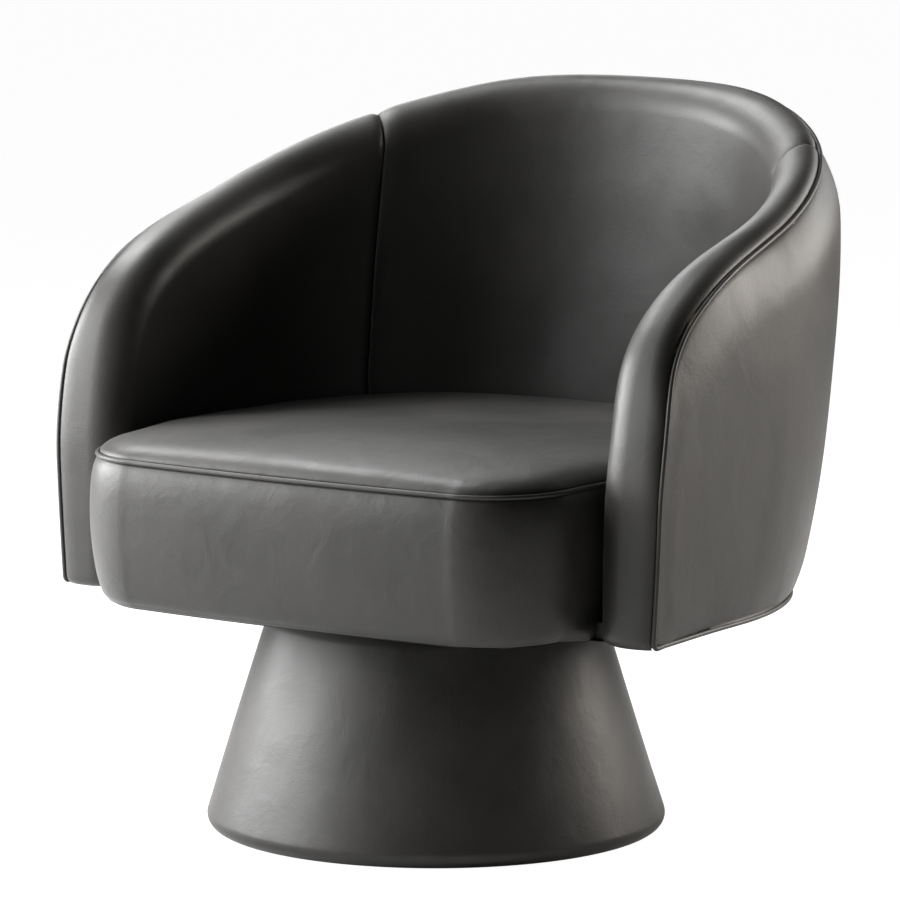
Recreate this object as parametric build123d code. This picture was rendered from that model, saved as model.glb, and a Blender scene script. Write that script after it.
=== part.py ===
from build123d import *
import math
import os

os.makedirs("parts", exist_ok=True)

# Upholstered barrel armchair on a turning pedestal.
# Millimetres.  Origin: swivel axis at the floor, +Z up, the sitter looks to -Y.

# ---------------------------------------------------------------- main sizes
BASE_R = 250.0          # pedestal radius at the floor
BASE_TOP_R = 178.5      # pedestal radius at its top
BASE_TOP = 236.0        # height of the pedestal's top
BASE_EDGE = 17.0        # rounding of the pedestal's lower edge
LEATHER = 1.5           # upholstery leather, also the offset between a form and its stuffing
WADDING = 6.5           # soft layer between leather and plywood
PLY = 10.0              # moulded plywood wall of the tub
ARM_T = 78.0            # finished thickness of an arm
BACK_T = 74.0           # finished thickness of the back
UNDER = 250.0           # lowest point of the turning part
DECK_Z = 254.0          # underside of the seat board
DECK_T = 18.0           # its thickness
FRONT_Y = -169.0        # front of the arms
SEAT_FRONT = -290.0     # front of the seat at its piping
SEAT_HALF = 299.9       # half width of the seat between the arms
FIT = 0.3               # clearance between layers that lie on each other
PIPE_Z = 413.0          # height of the seat's piping
SEAT_TOP = 440.0        # top of the crowned seat
PIPE_R = 2.75           # radius of the piping
INNER_EDGE = 38.0       # rounding of the pads toward the sitter
SEAM_Y = 92.0           # the arm / back seams lie in upright planes through (0, SEAM_Y)
SEAM_ANGLE = 35.7       # angle of those planes from the X axis

# Outer wall of the tub: height, how far it stands out from the seat's side, centre of the
# half circle at the rear.
WALL = [(250, 73.1, 24), (365, 79.6, 57), (485, 82.1, 79), (610, 79.6, 99), (790, 64.1, 106)]
LEVELS = [(z, SEAT_HALF + out, centre) for z, out, centre in WALL]
# Crest line seen from the side (y, z), from the arm's front over to the top of the back.
CREST = [(FRONT_Y, 384), (-157, 482), (-134, 551), (-70, 608), (87, 661), (248, 711), (371, 752), (445, 770)]

# swivel: two plates with flat races and a caged ring of rollers between them
RACE_R = 70.0           # middle of the races
ROLLER_R = 2.5
ROLLER_L = 10.0
ROLLER_Z = 244.5
ROLLERS = 12
PLATE_R = 125.0
PLATE_T = 3.0


# ---------------------------------------------------------------- small helpers
def lerp(a, b, t):
    return a + (b - a) * t


def level_value(z, col):
    """Value of the tub's wall at height z, straight between two levels."""
    z = max(LEVELS[0][0], min(LEVELS[-1][0], z))
    for low, high in zip(LEVELS, LEVELS[1:]):
        if z <= high[0]:
            return lerp(low[col], high[col], (z - low[0]) / (high[0] - low[0]))
    return LEVELS[-1][col]


def full_depth(z):
    """Thickness of the padded wall at height z; low down the seat's width limits it."""
    w = level_value(z, 1)
    return w - max(w - ARM_T, SEAT_HALF + FIT)


def wall_circle(z, depth):
    """Radius and centre y of the U shaped wall, depth millimetres in from its outer face."""
    share = depth / full_depth(z)
    return level_value(z, 1) - depth, level_value(z, 2) + (ARM_T - BACK_T) * share


def wall_x(y, z, depth):
    """X of the right hand wall where it crosses the plane at y."""
    r, yc = wall_circle(z, depth)
    if y <= yc:
        return r
    return math.sqrt(max(0.0, r * r - (y - yc) ** 2))


def wall_ray(angle, z, depth):
    """Point of the wall in the upright plane through (0, SEAM_Y) at an angle from the X axis."""
    r, yc = wall_circle(z, depth)
    c = math.cos(math.radians(angle))
    n = math.sin(math.radians(angle))
    drop = SEAM_Y - yc
    reach = -drop * n + math.sqrt(r * r - (drop * c) ** 2)
    if SEAM_Y + reach * n < yc:
        reach = r / c
    return reach * c, SEAM_Y + reach * n


# ---------------------------------------------------------------- crest line
CREST_PATH = Spline(*CREST, tangents=[(0, 1), (1, 0)])
CREST_TABLE = [(p.X, p.Y) for p in [CREST_PATH @ (i / 240) for i in range(241)]]


def crest_z(y):
    """Height of the crest above y."""
    if y >= CREST_TABLE[-1][0]:
        return CREST_TABLE[-1][1]
    for (y0, z0), (y1, z1) in zip(CREST_TABLE, CREST_TABLE[1:]):
        if y <= y1:
            return lerp(z0, z1, (y - y0) / (y1 - y0)) if y1 > y0 else z1
    return CREST_TABLE[-1][1]


def crest_slope(y):
    return (crest_z(y + 4) - crest_z(y - 4)) / 8


LEAN_FROM = 600.0       # crest height at which the rim starts to lean in
LEAN_OVER = 75.0        # and how much higher it has done so
RIM_LEAN = 12.5         # by this much


def rim_lean(z):
    """How far the rim's piping lies in from the wall's fullest line, where the crest is at height z."""
    t = max(0.0, min(1.0, (z - LEAN_FROM) / LEAN_OVER))
    return 0.5 + RIM_LEAN * t * t * (3 - 2 * t)


# ---------------------------------------------------------------- stations
# A station is a plane that cuts the tub's wall square to its rim.  Its function gives a
# point of that plane: drop is the distance in from the crest, share runs from there (0)
# to the foot (1), and depth or side is the distance in from the outer or the inner face.
class Station:
    def __init__(self, point, run, lean, pinch=0.0):
        self.point = point
        self.run = run
        self.lean = lean
        self.pinch = pinch


def row_station(crest, foot, normal):
    """Plane along the X axis through a crest point and a foot point, both (y, z)."""
    run = math.hypot(foot[0] - crest[0], foot[1] - crest[1])
    uy = (foot[0] - crest[0]) / run
    uz = (foot[1] - crest[1]) / run
    rate = 1 / (uy * normal[0] + uz * normal[1])

    def point(drop, share, depth=None, side=None):
        go = lerp(drop * rate, run, share)
        y = crest[0] + uy * go
        z = crest[1] + uz * go
        if depth is None:
            depth = full_depth(z) - side
        return (wall_x(y, z, depth), y, z)

    return Station(point, run, rim_lean(crest[1]))


def ray_station(angle, pinch=0.0):
    """Upright plane through (0, SEAM_Y) at an angle from the X axis."""

    def ray(z, depth, side):
        if depth is None:
            depth = full_depth(z) - side
        return wall_ray(angle, z, depth)

    def point(drop, share, depth=None, side=None):
        z = 700.0
        for _ in range(8):
            x, y = ray(z, depth, side)
            z = crest_z(y) - drop * math.hypot(1, crest_slope(y))
        z = lerp(z, UNDER, share)
        x, y = ray(z, depth, side)
        return (x, y, z)

    top = point(0, 0, depth=0)[2]
    return Station(point, top - UNDER, rim_lean(top), pinch)


ARM_ROWS = 9
ARM_RAYS = (0, 9, 18, 26)
BACK_RAYS = (45, 54, 63, 72, 81)
PINCH = [(0, 7.0), (2.2, 1.4)]   # how a pad draws in near its seam: (degrees away, mm)
SEAM_RAYS = tuple(SEAM_ANGLE + away for away in (-PINCH[1][0], 0, PINCH[1][0]))


def arm_rows():
    """Stations from the foot of the right arm's front up and over to where the rear arc begins."""
    out = [row_station((FRONT_Y, UNDER + rise), (FRONT_Y + 50 + rise / 6, UNDER), (1, 0)) for rise in (0, 60)]
    reach = next(i for i, (y, z) in enumerate(CREST_TABLE) if y >= SEAM_Y) / 240
    for k in range(ARM_ROWS):
        p = CREST_PATH @ (reach * k / ARM_ROWS)
        d = CREST_PATH % (reach * k / ARM_ROWS)
        foot = (lerp(FRONT_Y + 60, SEAM_Y, ((k + 1) / (ARM_ROWS + 1)) ** 1.2), UNDER)
        out.append(row_station((p.X, p.Y), foot, (d.Y, -d.X)))
    return out


def half_tub():
    """Stations of the right half of the tub, foot of the arm's front to the middle of the back."""
    return arm_rows() + [ray_station(a) for a in ARM_RAYS + SEAM_RAYS + BACK_RAYS + (90,)]


# ---------------------------------------------------------------- forms with flat facets
def flat(points):
    return Face(Wire.make_polygon([Vector(*p) for p in points], close=True))


def facets(a, b, c, d):
    """One flat four sided facet, or two triangles that meet on the diagonal further from the middle."""
    va, vb, vc, vd = (Vector(*p) for p in (a, b, c, d))
    square = (vb - va).cross(vc - va)
    if abs(square.dot(vd - va)) < 1e-6 * square.length:
        return [flat((a, b, c, d))]
    middle = Vector(0, SEAM_Y, UNDER)
    if ((va + vc) / 2 - middle).length > ((vb + vd) / 2 - middle).length:
        return [flat((a, b, c)), flat((a, c, d))]
    return [flat((a, b, d)), flat((b, c, d))]


def lofted(rings):
    """Solid between flat closed rings of as many points each, with flat facets between them."""
    faces = [flat(rings[0]), flat(rings[-1])]
    for low, high in zip(rings, rings[1:]):
        for k in range(len(low)):
            faces += facets(low[k - 1], low[k], high[k], high[k - 1])
    return Solid(Shell(faces))


def both_sides(outlines):
    """Loft through outlines of the right half, on over the middle to their mirror images."""
    other = [[(-x, y, z) for x, y, z in o] for o in reversed(outlines[:-1])]
    return lofted(outlines + other)


# how the wall leans in toward its rim: (distance below the piping, share of the lean)
LEAN_STEPS = [(0.0, 1.0), (15.0, 0.48), (45.0, 0.0)]


def wall_side(station, drop, depth):
    """Points down one face of the wall from under the rim to the foot."""
    out = []
    for below, part in LEAN_STEPS:
        share = min(below, station.run / 2) / station.run
        out.append(station.point(drop, share, depth=depth + station.lean * part))
    for share in (0.42, 0.7, 1):
        if station.run < 90:
            share = 0.5 + share / 2
        out.append(station.point(drop, share, depth=depth))
    return out


def tub_layer(outer, inner, drop):
    """One layer of the tub's wall between two depths, its top edge drop in from the crest."""
    return both_sides([wall_side(st, drop, outer) + wall_side(st, drop, inner)[::-1] for st in STATIONS])


STATIONS = half_tub()


# ---------------------------------------------------------------- padded forms
LIP = LEATHER + FIT     # depth at which a pad's leather meets the back of the piping


def pad_face(st, skin):
    """Points over a pad's leather, or the same moved in by skin: piping, crest, round edge, foot."""
    inner = skin + st.pinch
    out = []
    for drop, depth in ((TUCK, LIP), (5.0, LIP), (1.8, 5.5), (0.0, 13.0)):
        out.append(st.point(max(drop, st.pinch) + skin * (drop < TUCK), 0, depth=depth + st.lean + skin))
    radius = INNER_EDGE - skin
    for deg in (0, 22.5, 45, 67.5, 90):
        a = math.radians(deg)
        out.append(st.point(inner + radius * (1 - math.cos(a)), 0, side=inner + radius * (1 - math.sin(a))))
    for share in (0.35, 0.7, 1):
        out.append(st.point(inner + radius, share, side=inner))
    return out


def pad_cover(stations):
    """Leather of a pad between two seams or ends."""
    return lofted([pad_face(st, 0) + pad_face(st, LEATHER)[::-1] for st in stations])


def pad_foam(stations):
    """Stuffing of a pad, over the top of the shell and down its inner side."""
    rings = []
    for st in stations:
        over = st.point(TUCK, 0, depth=SHELL_IN + FIT + st.lean)
        behind = [over] + wall_side(st, SHELL_DROP, SHELL_IN + FIT)
        rings.append(pad_face(st, LEATHER) + behind[::-1])
    return lofted(rings)


ARM_STATIONS = arm_rows() + [ray_station(a) for a in ARM_RAYS]
ARM_STATIONS += [ray_station(SEAM_ANGLE - away, pinch) for away, pinch in reversed(PINCH)]


def back_stations():
    """Stations of the back pad from its right seam to its left one."""
    angles = [(SEAM_ANGLE + away, pinch) for away, pinch in PINCH] + [(a, 0.0) for a in BACK_RAYS]
    angles += [(90, 0.0)] + [(180 - a, pinch) for a, pinch in reversed(angles)]
    return [ray_station(a, pinch) for a, pinch in angles]


# ---------------------------------------------------------------- seat cushion
NOSE_R = 2500.0         # the front edge is a shallow arc
CORNER_R = 93.0         # radius of its corners, in plan
NOSE_DRAW = 11.9        # how much narrower each side is at the free front
CORNER_X = SEAT_HALF - NOSE_DRAW - CORNER_R     # centre of the corner arc
NOSE_END = -70.0        # from here back the seat's side is straight
SEAT_WAIST = 3.3        # how far the cushion draws in under its piping
SEAT_GAP = 2.4          # between the cushion and the pads beside and behind it
WRAP_Y = 150.0          # behind here the seat's top leather is drawn down over its rear edge
WRAP_Z = 390.0          # as far as this height
SEAT_MIDDLE = 40.0      # y of the crown's middle
CORNER_TURNS = (-66, -45, -24)
# height, how far the front lies in from the piping line (less than 0 is a bulge)
SEAT_SIDE = [(UNDER, 16), (262, 4), (285, -3), (345, -8), (380, -6)]
# the same near and over the piping, and how far it stays below the crown
SEAT_EDGE = [(398, -3, 22), (PIPE_Z, SEAT_WAIST, 14), (424, 4, 8), (433, 15, 3), (446, 45, 0)]


NOSE_LEAN = math.degrees(math.asin(CORNER_X / NOSE_R))
CORNER_Y = (SEAT_FRONT + NOSE_R - math.sqrt(NOSE_R ** 2 - CORNER_X ** 2)
            + CORNER_R * math.cos(math.radians(NOSE_LEAN)))


def nose_points(inset):
    """Right half of the seat's front outline: middle, corner start, corner middle, corner end."""
    r = CORNER_R - inset
    out = []
    for deg in (-90 + NOSE_LEAN, -45, -3):
        a = math.radians(deg)
        out.append((CORNER_X + r * math.cos(a), CORNER_Y + r * math.sin(a)))
    return [(0, SEAT_FRONT + inset)] + out


def seat_ring(z, inset, skin, under=None):
    """Closed ring of points round the seat; under keeps it that far below the crown."""
    r, yc = wall_circle(z, full_depth(z))
    r -= SEAT_GAP + skin + max(0.0, inset) * (under is not None)
    mid, start, corner, end = nose_points(inset + skin)
    half = [mid, (start[0] / 2, mid[1] + start[0] ** 2 / 8 / NOSE_R), start]
    turn = CORNER_R - inset - skin
    for deg in CORNER_TURNS:
        a = math.radians(deg)
        half.append((CORNER_X + turn * math.cos(a), CORNER_Y + turn * math.sin(a)))
    half += [end, (r, NOSE_END), (r, yc)]
    half += [(r * math.cos(math.radians(d)), yc + r * math.sin(math.radians(d))) for d in range(10, 90, 10)]
    whole = half + [(0, yc + r)] + [(-x, y) for x, y in reversed(half[1:])]
    if under is None:
        return [(x, y, z) for x, y in whole]
    return [(x, y, min(z, seat_crown(x, y) - under) - skin) for x, y in whole]


def seat_crown(x, y):
    """Height of the crowned seat."""
    z = SEAT_TOP - 9 * (x / SEAT_HALF) ** 2
    if y > -100:
        z -= 0.035 * (y + 100)
    else:
        z -= 6 * ((y + 100) / 190) ** 2
    if y > 250:
        z -= 18 * ((y - 250) / 128) ** 2
    return z


def seat_form(skin):
    """The whole seat cushion, moved in by skin, crowned on top and flat below."""
    rings = [seat_ring(z, inset, skin) for z, inset in SEAT_SIDE]
    rings += [seat_ring(z, inset, skin, under) for z, inset, under in SEAT_EDGE]
    outer = rings[-1]
    for share in (0.72, 0.45, 0.2):
        ring = [(x * share, SEAT_MIDDLE + (y - SEAT_MIDDLE) * share) for x, y, _ in outer]
        rings.append([(x, y, seat_crown(x, y) - skin) for x, y in ring])
    flat = seat_crown(0, SEAT_MIDDLE) - skin
    rings.append([(x * 0.2, SEAT_MIDDLE + (y - SEAT_MIDDLE) * 0.2, flat) for x, y, _ in outer])
    rings.pop(-2)
    return lofted(rings)


SPAN = 1200.0           # more than the chair measures any way


def across(y0, y1, z0, z1):
    """Box right across the chair between two y and two heights."""
    return Pos(0, (y0 + y1) / 2, (z0 + z1) / 2) * Box(SPAN, y1 - y0, z1 - z0)


def slab(z0, z1):
    return across(-SPAN, SPAN, z0, z1)


def cord(points, turns):
    """Piping through the points as a many sided rod; turns are its directions at them."""
    rings = []
    for p, t in zip(points, turns):
        side = upright(t)
        over = side.cross(Vector(*t)).normalized()
        ring = []
        for k in range(PIPE_SIDES):
            a = 2 * math.pi * k / PIPE_SIDES
            q = Vector(*p) + side * (PIPE_R * math.cos(a)) + over * (PIPE_R * math.sin(a))
            ring.append((q.X, q.Y, q.Z))
        rings.append(ring)
    return lofted(rings)


def upright(t):
    """A direction square to t that turns as little as it can along the piping."""
    side = Vector(t).cross(Vector(0, -0.35, 1))
    return side.normalized()


def along(path, count):
    points = [path @ (i / count) for i in range(count + 1)]
    turns = [path % (i / count) for i in range(count + 1)]
    return points, turns


def seat_pipe():
    """The seat's piping round the front, ending just inside the arms."""
    mid, start, corner, end = nose_points(0)
    share = (FRONT_Y + 22 - end[1]) / (NOSE_END - end[1])
    stop = (lerp(end[0], SEAT_HALF, share) + SEAT_WAIST * share + 0.3, FRONT_Y + 22)
    points = []
    turns = []
    for edge, count in ((Line(stop, end), 2), (ThreePointArc(end, corner, start), 9),
                        (ThreePointArc(start, mid, (-start[0], start[1])), 4)):
        p, t = along(edge, count)
        keep = count // 2 + 1 if count == 4 else count
        points += [(q.X, q.Y, PIPE_Z) for q in p[:keep]]
        turns += [(d.X, d.Y, 0) for d in t[:keep]]
    points += [(-x, y, z) for x, y, z in reversed(points[:-1])]
    turns += [(x, -y, z) for x, y, z in reversed(turns[:-1])]
    return cord(points, turns)


# ---------------------------------------------------------------- piping of the outer panel
PIPE_DROP = 7.0         # the piping lies this far in from the crest
PIPE_DEPTH = -1.2       # and its centre stands this far out from the outer face
PIPE_BEND = 9.0         # rounding at the panel's lower front corners
PIPE_SIDES = 8


def rim_pipe():
    """Piping up one arm's front, round the rim and down the other."""
    low = row_station((FRONT_Y, UNDER + 2.5 + PIPE_BEND), (FRONT_Y + 60, UNDER), (1, 0))
    rings = []
    for st in [low] + STATIONS[1:]:
        ring = []
        for k in range(PIPE_SIDES):
            a = 2 * math.pi * k / PIPE_SIDES
            depth = PIPE_DEPTH + st.lean + PIPE_R * math.sin(a)
            ring.append(st.point(PIPE_DROP + PIPE_R * math.cos(a), 0, depth=depth))
        rings.append(ring)
    return both_sides(rings)


def lower_pipe():
    """Piping along the panel's lower edge, with the rounded corners that lead up the arms' fronts."""
    z = 252.5
    r, yc = wall_circle(z, PIPE_DEPTH)
    top_x = wall_x(FRONT_Y, z + PIPE_BEND, PIPE_DEPTH)
    y = FRONT_Y + PIPE_DROP
    points = []
    turns = []
    for k in range(4):
        a = math.radians(30 * k)
        x = lerp(top_x, r, k / 3)
        points.append((x, y + PIPE_BEND * (1 - math.cos(a)), z + PIPE_BEND * (1 - math.sin(a))))
        turns.append((0, math.sin(a), -math.cos(a)))
    for k in range(15):
        a = math.radians(90 * k / 14)
        points.append((r * math.cos(a), yc + r * math.sin(a), z))
        turns.append((-math.sin(a), math.cos(a), 0))
    points += [(-x, y, z) for x, y, z in reversed(points[:-1])]
    turns += [(x, -y, -z) for x, y, z in reversed(turns[:-1])]
    return cord(points, turns)


# ---------------------------------------------------------------- turned and round work
def cone_r(z, inset=0.0):
    """Radius of the pedestal at a height, moved in square to its slope."""
    slope = (BASE_R - BASE_TOP_R) / BASE_TOP
    return BASE_R - slope * z - inset * math.hypot(1, slope)


def turned(points):
    """Solid of revolution from an (r, z) outline."""
    return revolve(Plane.XZ * make_face(Polyline(*points, close=True)), Axis.Z)


def cylinder(r, z0, z1, x=0.0, y=0.0):
    return Pos(x, y, (z0 + z1) / 2) * Cylinder(r, z1 - z0)


def ring(r_out, r_in, z0, z1):
    return cylinder(r_out, z0, z1) - cylinder(r_in, z0 - 1, z1 + 1)


def around(count, radius, start=0.0):
    out = []
    for i in range(count):
        a = math.radians(start + 360 * i / count)
        out.append((radius * math.cos(a), radius * math.sin(a)))
    return out


def hex_prism(across, z0, z1, x=0.0, y=0.0):
    face = RegularPolygon(across / 2, 6, major_radius=False)
    return Pos(x, y, z0) * extrude(face, amount=z1 - z0)


# heights through the swivel
RUNNING = 0.35                  # clearance of the rollers to each race
DISC_TOP = BASE_TOP - LEATHER
LOWER_PLATE = DISC_TOP + PLATE_T
LOWER_RACE = ROLLER_Z - ROLLER_R - RUNNING
UPPER_RACE = ROLLER_Z + ROLLER_R + RUNNING
UPPER_PLATE = DECK_Z - PLATE_T
RACE_IN = RACE_R - 8
RACE_OUT = RACE_R + 8
BOLT_R = 4.0
HEAD_AF = 13.0
HEAD_T = 4.5
LOWER_BOLTS = around(4, 106, 45)
UPPER_BOLTS = around(4, 98, 0)
PIN_R = 6.0

# pedestal boards
FELT_T = 3.0
FELT_R = 226.0
BOARD = 18.0
CONE_PLY = 9.0
BASE_WADDING = 5.0
CONE_OUT = LEATHER + BASE_WADDING
HEM_Z = 0.6             # the leather turned under keeps this far off the floor
BROW_R = 6.0            # rounding of the pedestal's upper edge
CONE_IN = CONE_OUT + CONE_PLY


def edge_points(radius, inset, z, angles):
    """Points (r, z) round an edge of the pedestal, about a centre inset from its slope at height z."""
    r = cone_r(z, inset)
    return [(r + radius * math.cos(math.radians(a)), z + radius * math.sin(math.radians(a))) for a in angles]


def base_cover():
    """Leather drawn over the cone, turned under at the floor and over the top."""
    lean = math.degrees(math.atan2(BASE_R - BASE_TOP_R, BASE_TOP))
    foot = (-85, lerp(-85, lean, 1 / 3), lerp(-85, lean, 2 / 3), lean)
    brow = (lean, lerp(lean, 90, 0.5), 90)
    sides = []
    for skin in (0, LEATHER):
        sides.append(edge_points(BASE_EDGE - skin, BASE_EDGE, HEM_Z + BASE_EDGE, foot)
                     + edge_points(BROW_R - skin, BROW_R, BASE_TOP - BROW_R, brow)
                     + [(PLATE_R + 4, BASE_TOP - skin)])
    return turned(sides[0] + sides[1][::-1])


def shank(r, z0, z1, x=0.0, y=0.0):
    """Plain eight sided rod for a screw, and for its hole."""
    return Pos(x, y, z0) * extrude(RegularPolygon(r, 8), amount=z1 - z0)


def lag_screw(x, y, seat_z, tip_z):
    """Hexagon head screw on a plate, its shank running into the board."""
    low = seat_z - HEAD_T if tip_z > seat_z else seat_z
    head = hex_prism(HEAD_AF, low, low + HEAD_T, x, y)
    return head + shank(BOLT_R, min(seat_z, tip_z), max(seat_z, tip_z), x, y)


def pedestal():
    nodes = {}
    nodes["base_felt_pad"] = cylinder(FELT_R, 0, FELT_T)
    low = FELT_T + BOARD
    nodes["base_bottom_disc"] = turned([
        (0, FELT_T), (cone_r(FELT_T, CONE_IN) - 6, FELT_T), (cone_r(low, CONE_IN + FIT), low), (0, low)])
    nodes["base_cone_shell"] = turned([
        (cone_r(12, CONE_IN), 12), (cone_r(12, CONE_OUT), 12),
        (cone_r(DISC_TOP, CONE_OUT), DISC_TOP), (cone_r(DISC_TOP, CONE_IN), DISC_TOP)])
    nodes["base_wadding"] = turned([
        (cone_r(26, CONE_OUT - FIT), 26), (cone_r(26, LEATHER + FIT), 26),
        (cone_r(BASE_TOP - 8, LEATHER + FIT), BASE_TOP - 8),
        (cone_r(BASE_TOP - 8, CONE_OUT - FIT), BASE_TOP - 8)])
    nodes["base_cover"] = base_cover()
    disc_low = DISC_TOP - BOARD
    top_disc = turned([(0, disc_low), (cone_r(disc_low, CONE_IN + FIT), disc_low),
                       (cone_r(DISC_TOP, CONE_IN + FIT), DISC_TOP), (0, DISC_TOP)])
    fin = make_face(Polyline((-cone_r(low, CONE_IN), low), (cone_r(low, CONE_IN), low),
                             (cone_r(disc_low, CONE_IN), disc_low), (-cone_r(disc_low, CONE_IN), disc_low),
                             close=True))
    fin = extrude(Plane.XZ * fin, amount=7, both=True)
    inside = turned([(0, low), (cone_r(low, CONE_IN + FIT), low),
                     (cone_r(disc_low, CONE_IN + FIT), disc_low), (0, disc_low)])
    ribs = (fin + Rot(0, 0, 90) * fin) & inside
    nodes["base_ribs"] = ribs - cylinder(26, disc_low - 30, disc_low + 1)

    plate = cylinder(PLATE_R, DISC_TOP, LOWER_PLATE) + ring(RACE_OUT, RACE_IN, LOWER_PLATE, LOWER_RACE)
    screws = []
    for x, y in LOWER_BOLTS:
        screws.append(lag_screw(x, y, LOWER_PLATE, disc_low + 2))
        plate -= shank(BOLT_R, DISC_TOP - 1, LOWER_PLATE + 1, x, y)
        top_disc -= shank(BOLT_R, disc_low + 2, DISC_TOP + 1, x, y)
    plate -= cylinder(PIN_R + 0.1, DISC_TOP - 1, LOWER_PLATE + 1)
    top_disc -= cylinder(PIN_R + 0.1, disc_low - 1, DISC_TOP + 1)
    nodes["base_top_disc"] = top_disc
    nodes["swivel_lower_plate"] = plate
    nodes["lower_screws"] = Compound(screws)
    nodes["king_pin"] = hex_prism(19, disc_low - 8, disc_low) + cylinder(PIN_R, disc_low, DECK_Z + 12)
    nodes["king_washer"] = ring(16, PIN_R, DECK_Z + 0.5, DECK_Z + 2.5)
    nodes["king_nut"] = hex_prism(19, DECK_Z + 2.5, DECK_Z + 11) - cylinder(PIN_R, DECK_Z, DECK_Z + 13)
    return nodes


def bearing():
    rollers = []
    cage = ring(RACE_R + 7, RACE_R - 7, ROLLER_Z - 0.8, ROLLER_Z + 0.8)
    for i in range(ROLLERS):
        turn = Rot(0, 0, 360 * i / ROLLERS)
        lying = Pos(RACE_R, 0, ROLLER_Z) * Rot(0, 90, 0)
        rollers.append(turn * lying * Cylinder(ROLLER_R, ROLLER_L))
        cage -= turn * Pos(RACE_R, 0, ROLLER_Z) * Box(ROLLER_L + 0.4, 2 * ROLLER_R + 0.4, 4)
    return {"roller_cage": cage, "rollers": Compound(rollers)}


# ---------------------------------------------------------------- the turning part
POST_FRONT = FRONT_Y + 19.0     # front of the wooden blocks in the arms
POST_BACK = POST_FRONT + 32.0
POST_TOP = 400.0
POST_DEEP = 26.0
SHELL_IN = LEATHER + WADDING + PLY
SHELL_OUT = LEATHER + WADDING
TUCK = 10.0                     # the outer panel stops this far below the crest
BOARD_BACK = 15.0               # the seat board's front edge lies this far in from the seat's
SHELL_DROP = TUCK + 0.4         # top edge of the shell and of the wadding
CLOTH = 0.8                     # dust cloth under the board


def wood_screw(point, direction):
    """Confirmat screw through the shell into the board's edge."""
    place = Plane(origin=point, z_dir=direction)
    return place.location * shank(2.5, 0, 34.0)


def board_ring(z, inset):
    """Outline of the seat board at one height, drawn in by inset from the shell's inside."""
    mid, start, corner, end = nose_points(BOARD_BACK + inset)
    depth = SHELL_IN + FIT + inset
    wall = [p for p in (foot_point(st, z, depth) for st in STATIONS[2:]) if p[1] > POST_BACK]
    half = [mid, start, corner, end, (end[0], POST_FRONT + inset), (wall[0][0], POST_FRONT + inset)] + wall
    whole = half + [(-x, y) for x, y in reversed(half[1:]) if x > 1]
    return [(x, y, z) for x, y in whole]


def foot_point(station, z, depth):
    """Where the wall's lowest straight stretch at a station crosses height z."""
    upper, foot = wall_side(station, SHELL_DROP, depth)[-2:]
    t = (z - foot[2]) / (upper[2] - foot[2])
    return (lerp(foot[0], upper[0], t), lerp(foot[1], upper[1], t))


def board_slab(z0, z1, inset):
    return lofted([board_ring(z0, inset), board_ring(z1, inset)])


def post(inner, outer):
    """Upright block behind the right arm's front, between two depths in from the wall's face."""
    rings = []
    for z in (DECK_Z + DECK_T, POST_TOP):
        rings.append([(wall_x(y, z, d), y, z) for y, d in (
            (POST_FRONT, outer), (POST_BACK, outer), (POST_BACK, inner), (POST_FRONT, inner))])
    return lofted(rings)


def above(shape, z):
    """The part of a shape over a height."""
    return shape & slab(z, SPAN)


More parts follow.
